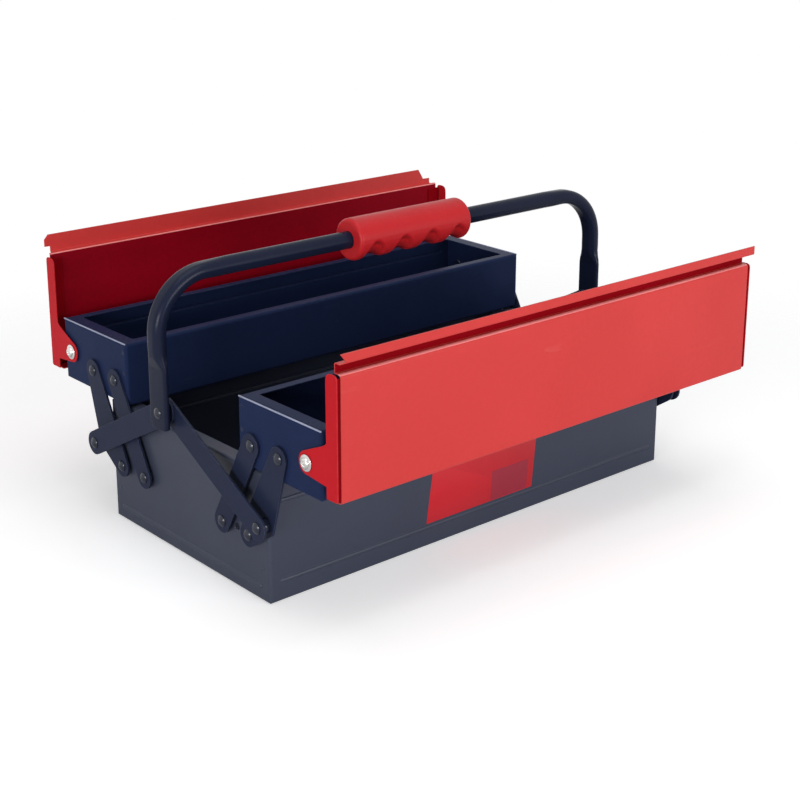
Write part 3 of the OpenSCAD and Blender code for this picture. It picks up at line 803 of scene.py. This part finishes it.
def lid_ends(row, path):
    """Where the sheet of a lid ends to the left and right, for each point of its path."""
    def ends(i):
        u, v = path[i]
        if row == "front":
            if u > 30.0 and v > LIP_FROM + 0.5:
                rise = min(1.0, (v - LIP_FROM - 0.5) / 6.0)
                return -PANEL_END + 5.5 - 5.5 * rise, LIP_RIGHT
            return -PANEL_END, PANEL_END
        if u < LID_OUT + 1.0:
            return -PANEL_END, PANEL_END
        if v <= LEDGE_UP + 4.7:
            return LEDGE_ENDS
        if v > BAND_TOP - 0.5:
            return BAND_CREST_ENDS
        return BAND_LEFT, 198.5 - 6.0 * max(0.0, v - LEDGE_UP - 5.0) / 9.5
    return ends


def lid_finish(row, u, v, side):
    """Finish number of a face of the folded sheet; side is 1 outside, -1 inside, 0 at a cut edge."""
    if row == "front":
        in_groove = LID_TOP - 0.3 < v < LIP_FROM + 0.6 and u < LID_OUT - 1.2
        on_fold = FRONT_FOLD_V[0] < v < FRONT_FOLD_V[1] and u > 31.0
    else:
        in_groove = False
        on_fold = REAR_FOLD_V[0] < v < REAR_FOLD_V[1] and u < 33.4
    # The groove under the front lip is painted dark red as painted shade.
    if in_groove and side == 1:
        return SHADED_RECESS
    # Faces on the top folds get the pale red of a painted highlight.
    if on_fold:
        return FOLD_HIGHLIGHT
    # Inner faces get the darker red of painted shade.
    return SHADED_INSIDE if side == -1 and v < LEDGE_UP - 1.2 else COAT


def make_lid(row, lean, coats):
    """The folded sheet, end plates and turned-in tabs of one lid, as one piece."""
    path = front_lid_path() if row == "front" else rear_lid_path()
    points, faces, sides = folded_sheet(path, lid_ends(row, path))
    finishes = [lid_finish(row, path[i].x, path[i].y, side) for i, side in sides]
    parts = [(points, faces, finishes)]
    for side in (-1, 1):
        plate, plate_faces = plate_prism(side, PLATE_TOP[row])
        parts.append((plate, plate_faces, [END_PLATE] * len(plate_faces)))
        tab, tab_faces = tab_strip(side, PLATE_TOP[row])
        # The turned-in tabs are painted dark red as painted shade in the gap beside the panel.
        parts.append((tab, tab_faces, [SHADED_RECESS] * len(tab_faces)))
    lid = join_parts(f"{row}_lid_sheet", parts, lean)
    for material in coats:
        lid.data.materials.append(material)
    for face in lid.data.polygons:
        face.use_smooth = True
    lid.data.set_sharp_from_angle(angle=math.radians(30.0))
    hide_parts(f"{row}_lid")
    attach(lid, f"{row}_lid")


# ---------------------------------------------------------------- painted highlights on the tray rims
def make_rim_beads(material):
    """A painted highlight along the outside fold of each tray's end rims, as a thin rounded bead."""
    radius, top, out = 0.62, 151.95, 212.05
    stations = (75.2, 76.0, 121.0, 168.8, 169.6)
    for row, lean in (("rear", 1), ("front", -1)):
        for side, end in ((-1, "left"), (1, "right")):
            rings = []
            for y in stations:
                r = radius * (0.4 if y in (stations[0], stations[-1]) else 1.0)
                angles = [side * lean * 2 * math.pi * k / 12 for k in range(12)]
                rings.append([(side * (out + r * math.cos(t)), lean * y, top + r * math.sin(t))
                              for t in angles])
            points, faces = skin_rings(rings)
            faces = [tuple(reversed(face)) for face in faces]
            bead = add_mesh(f"{row}_rim_highlight_bead_{end}", points, faces, MM)
            finish_piece(bead, f"{row}_tray", material, 50.0)


# ---------------------------------------------------------------- the patch on the front wall
def slab(name, corners, y_back, y_front, rounding):
    """Thin plate on the front wall from four corners given as (x, z), corners rounded."""
    outline = []
    count = len(corners)
    for i, corner in enumerate(corners):
        here = Vector(corner)
        before = (Vector(corners[i - 1]) - here).normalized()
        after = (Vector(corners[(i + 1) % count]) - here).normalized()
        for k in range(5):
            t = k / 4
            spot = here + before * rounding * (1 - t) ** 2 + after * rounding * t ** 2
            outline.append((spot.x, spot.y))
    lip = 0.05
    centre = Vector((sum(p[0] for p in outline), sum(p[1] for p in outline))) / len(outline)
    inner = [tuple(centre + (Vector(p) - centre) * 0.9985) for p in outline]
    rings = [[(x, y_back, z) for x, z in outline], [(x, y_front + lip, z) for x, z in outline],
             [(x, y_front, z) for x, z in inner]]
    points, faces = skin_rings(rings)
    return add_mesh(name, points, faces, MM)


def make_front_patch(material, dark):
    """The plain patch on the front wall and the darker plain block on it."""
    wall = BASE_FRONT_Y
    patch = slab("plain_patch", [(-60.7, 18.9), (54.0, 18.9), (58.8, 66.5), (-53.6, 66.5)],
                 wall + 0.1, wall - 0.15, 1.2)
    finish_piece(patch, "base", material)
    block = slab("patch_block", [(7.5, 19.4), (47.5, 19.4), (50.0, 44.0), (9.0, 44.0)],
                 wall - 0.1, wall - 0.2, 0.8)
    finish_piece(block, "base", dark)


# ---------------------------------------------------------------- rivets and spot welds
def turned(name, section, place, towards, sides=40, bite=None):
    """Turned piece: (out, radius) rows along the X axis from place, towards -1 or 1."""
    rings = []
    for out, radius in section:
        ring = []
        for k in range(sides):
            t = 2 * math.pi * k / sides
            r = radius
            if bite is not None:
                r = bite(radius, t)
            ring.append((place[0] + towards * out, place[1] + towards * r * math.cos(t),
                         place[2] + r * math.sin(t)))
        rings.append(ring)
    points, faces = skin_rings(rings)
    return add_mesh(name, points, faces, MM)


COLLAR = [(0.0, 6.0), (0.45, 6.0), (0.85, 5.7), (1.0, 5.1), (1.0, 4.4), (1.15, 4.05), (1.7, 3.95),
          (2.3, 3.6), (2.65, 3.0), (2.7, 2.3), (2.45, 1.8), (1.9, 1.5), (1.5, 1.0), (1.4, 0.3)]
COLLAR_SEAT_X = 214.8
STAR_R = 2.4
STAR_DEPTH = 0.22


def star_bite(radius, t):
    """The pressed six-point mark in the middle of the head."""
    if radius > STAR_R:
        return radius
    return radius * (1.0 + STAR_DEPTH * math.cos(6 * t))


def make_lid_rivets(material):
    for side, end in ((-1, "left"), (1, "right")):
        for row, lean in (("rear", 1), ("front", -1)):
            place = (side * COLLAR_SEAT_X, lean * LID_PIVOT_Y, LID_PIVOT_Z)
            name = f"{row}_lid_rivet_head_{end}"
            head = turned(name, COLLAR, place, side, 48, star_bite)
            finish_piece(head, f"{row}_lid", material, 30.0)


BASE_END_X = 210.0
TRAY_END_X = 212.4
BASE_SPOT_YS = (-96.0, 96.0)
BASE_SPOT_ZS = (26.0, 58.0, 90.0)
TRAY_SPOT_Y = 79.0
TRAY_SPOT_ZS = (111.0, 128.0, 145.0)


def weld_print(place, axis, sign, radius=2.0):
    """Shallow round print of a spot weld on a face across axis, seen from outside."""
    rows = [(0.0, radius), (0.10, radius * 0.92), (0.14, radius * 0.72), (0.05, radius * 0.5),
            (0.02, 0.2)]
    rings = []
    for out, r in rows:
        ring = []
        for k in range(24):
            t = 2 * math.pi * k / 24 * sign
            a, b = r * math.cos(t), r * math.sin(t)
            if axis == "x":
                ring.append((place[0] + sign * out, place[1] + a, place[2] + b))
            else:
                ring.append((place[0] + a, place[1] + sign * out, place[2] - b))
        rings.append(ring)
    return rings


def add_prints(name, places, axis, sign, body, material):
    """One piece with a weld print at each place."""
    points, faces = [], []
    for place in places:
        new_points, new_faces = skin_rings(weld_print(place, axis, sign))
        faces += [tuple(i + len(points) for i in face) for face in new_faces]
        points += new_points
    piece = add_mesh(name, points, faces, MM)
    return finish_piece(piece, body, material)


def make_weld_prints(body_paint, tray_paint):
    for sign, end in ((-1, "left"), (1, "right")):
        spots = [(sign * BASE_END_X, y, z) for y in BASE_SPOT_YS for z in BASE_SPOT_ZS]
        add_prints(f"base_weld_prints_{end}", spots, "x", sign, "base", body_paint)
        for row, lean in (("rear", 1), ("front", -1)):
            spots = [(sign * TRAY_END_X, lean * TRAY_SPOT_Y, z) for z in TRAY_SPOT_ZS]
            add_prints(f"{row}_tray_weld_prints_{end}", spots, "x", sign, f"{row}_tray", tray_paint)


# ---------------------------------------------------------------- finishes on the carried-over parts
def dress(node, material):
    """One finish on every slot of a carried-over part."""
    slots = frame["nodes"][node].material_slots
    for entry in slots:
        entry.material = material
    if not slots:
        frame["nodes"][node].data.materials.append(material)


def make_paints():
    """The finishes that more than one piece wears."""
    # Paler edge colours below are painted highlights along folds and cut edges, and also the tint of
    # rub marks.
    edge_highlight_blue = (0.17, 0.19, 0.27)
    paints = {}
    paints["body"] = enamel("body_enamel", NAVY_BODY, (0.034, 0.040, 0.066), edge_highlight_blue, rough=0.36,
                            specular=0.30)
    paints["tray"] = enamel("tray_enamel", NAVY_TRAY, (0.010, 0.018, 0.054), edge_highlight_blue, rough=0.32,
                            specular=0.03)
    paints["link"] = enamel("link_enamel", NAVY_LINK, (0.012, 0.016, 0.038), edge_highlight_blue, rough=0.30,
                            specular=0.08)
    paints["bar"] = enamel("bar_enamel", NAVY_BAR, (0.007, 0.010, 0.026), edge_highlight_blue, rough=0.20,
                           dust=0.1, specular=0.10, grit=1400.0, depth=0.00001)
    paints["rivet"] = enamel("rivet_enamel", NAVY_RIVET, (0.007, 0.010, 0.022), (0.05, 0.055, 0.08),
                             rough=0.14, depth=0.00001, dust=0.05, specular=0.5)
    # The lids' outside coat: red with a painted sheen in its colour.
    paints["lid"] = enamel("lid_enamel", LID_RED_PAINTED_SHEEN, LID_DEEP, (0.78, 0.20, 0.18), rough=0.34,
                           mottle=0.35, depth=0.00004, grit=700.0, dust=0.12, specular=0.20,
                           dust_colour=(0.70, 0.30, 0.28))
    paints["steel"] = bright_steel("plated_rivet_steel")
    paints["plastic"] = moulded_plastic("grip_moulding", GRIP_RED, (0.44, 0.010, 0.018))
    return paints


def paint_of(node):
    """Which of the shared finishes a carried-over part wears."""
    if node == "base_box":
        return "body"
    if node.endswith("_tray"):
        return "tray"
    if "lid_rivet" in node:
        return "steel"
    if node.endswith("_lid"):
        return "lid"
    if "pin" in node or "pivots" in node:
        return "rivet"
    return {"handle_grip": "plastic", "handle_bar": "bar"}.get(node, "link")


def make_lid_coats(outside):
    """The finishes of a lid, in the order of their finish numbers."""
    # Inner faces: the lid red darkened as painted shade.
    inside = enamel("lid_inside_painted_shade", LID_INSIDE_SHADE, (0.12, 0.001, 0.005), (0.40, 0.02, 0.03),
                    rough=0.40, mottle=0.3, depth=0.00003, grit=700.0, dust=0.05, specular=0.04)
    # Groove and tabs: dark red as painted shade.
    recess = enamel("lid_recess_painted_shade", (0.26, 0.001, 0.006), (0.18, 0.001, 0.003),
                    (0.3, 0.01, 0.01), rough=0.5, dust=0.02, specular=0.02)
    end = enamel("lid_end_enamel", END_RED, (0.46, 0.008, 0.014), (0.74, 0.16, 0.15), rough=0.36,
                 mottle=0.35, depth=0.00004, grit=700.0, dust=0.08, specular=0.05)
    # Folds: pale pink as a painted highlight.
    fold = enamel("lid_fold_painted_highlight", FOLD_HIGHLIGHT_RED, (0.74, 0.18, 0.18), (0.9, 0.4, 0.38), rough=0.3,
                  mottle=0.5, dust=0.05, specular=0.3)
    return outside, inside, recess, end, fold


def make_pieces(paints):
    make_carrying_bar(paints["bar"])
    make_moulded_grip(paints["plastic"])
    make_front_patch(patch_film("patch_film", PATCH_RED, (0.50, 0.010, 0.018)),
                     patch_film("patch_block_film", PATCH_DARK, (0.28, 0.012, 0.03)))
    coats = make_lid_coats(paints["lid"])
    # Pale blue of the painted highlight on the tray rims.
    rim_highlight_paint = enamel("rim_painted_highlight_enamel", RIM_PAINTED_HIGHLIGHT, (0.20, 0.22, 0.32), (0.5, 0.52, 0.66),
                        rough=0.3, mottle=0.6, dust=0.05, specular=0.4)
    make_lid("rear", 1, coats)
    make_lid("front", -1, coats)
    make_rim_beads(rim_highlight_paint)
    make_lid_rivets(paints["steel"])
    make_weld_prints(paints["body"], paints["tray"])


def paint_and_build():
    paints = make_paints()
    for node in frame["nodes"]:
        dress(node, paints[paint_of(node)])
    make_pieces(paints)


bpy.context.scene.view_settings.view_transform = "Standard"
add_camera()
add_lights()
add_surroundings()
add_floor()
paint_and_build()
